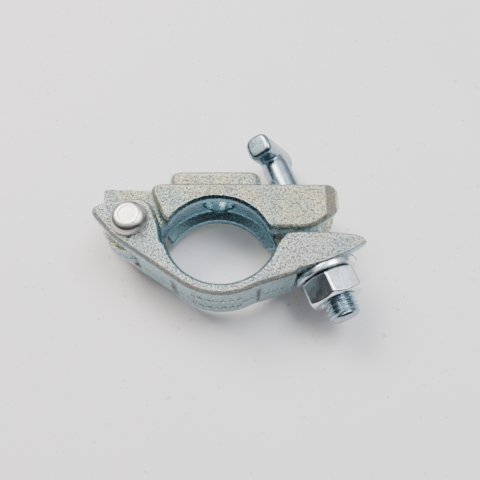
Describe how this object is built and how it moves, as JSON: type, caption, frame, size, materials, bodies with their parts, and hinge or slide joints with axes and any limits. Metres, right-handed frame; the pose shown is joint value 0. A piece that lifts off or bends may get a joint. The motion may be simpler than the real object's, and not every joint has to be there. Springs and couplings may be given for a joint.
{
  "type": "scaffold half coupler",
  "caption": "Drop-forged half coupler for scaffold tube: a hinged flap closes on a saddle with a swinging T-headed bolt, washer and nut; the saddle's back has a bored boss.",
  "frame": {"origin": "centre of the footprint of the coupler lying on its side, on the surface it lies on", "axes": "+Z along the tube that it grips and upward as it lies; +Y from the tube towards the boss; +X from the hinge rivet towards the bolt"},
  "size_m": [0.1192, 0.0914, 0.0388],
  "materials": {
    "forged_zinc": "zinc plated over a shot-blasted forging",
    "rivet_steel": "plated and burnished",
    "bright_zinc": "bright zinc"
  },
  "bodies": {
    "saddle": {"saddle": "forged_zinc", "hinge_rivet": "rivet_steel"},
    "flap": {"flap": "forged_zinc"},
    "bolt": {"t_bolt": "bright_zinc"},
    "washer": {"washer": "bright_zinc"},
    "nut": {"hex_nut": "bright_zinc"}
  },
  "joints": [
    {"name": "flap_hinge", "type": "hinge", "parent": "saddle", "child": "flap", "pos_m": [-0.04202, -0.0041, 0.0193], "axis": [0, 0, -1], "range_deg": [0, 13.5]},
    {"name": "bolt_swing", "type": "hinge", "parent": "flap", "child": "bolt", "pos_m": [0.01018, 0.06319, 0.0193], "axis": [0, 0, 1], "range_deg": [0, 55]},
    {"name": "washer_slide", "type": "slide", "parent": "bolt", "child": "washer", "axis": [0.3535, -0.9354, 0], "range_m": [0, 0.00701]},
    {"name": "nut_spin", "type": "hinge", "parent": "washer", "child": "nut", "pos_m": [0.04263, -0.02269, 0.0193], "axis": [0.3535, -0.9354, 0], "range_deg": [0, 1260]}
  ],
  "couplings": [
    {"joint": "washer_slide", "follows": "nut_spin", "m_per_rad": 0.00031831}
  ]
}
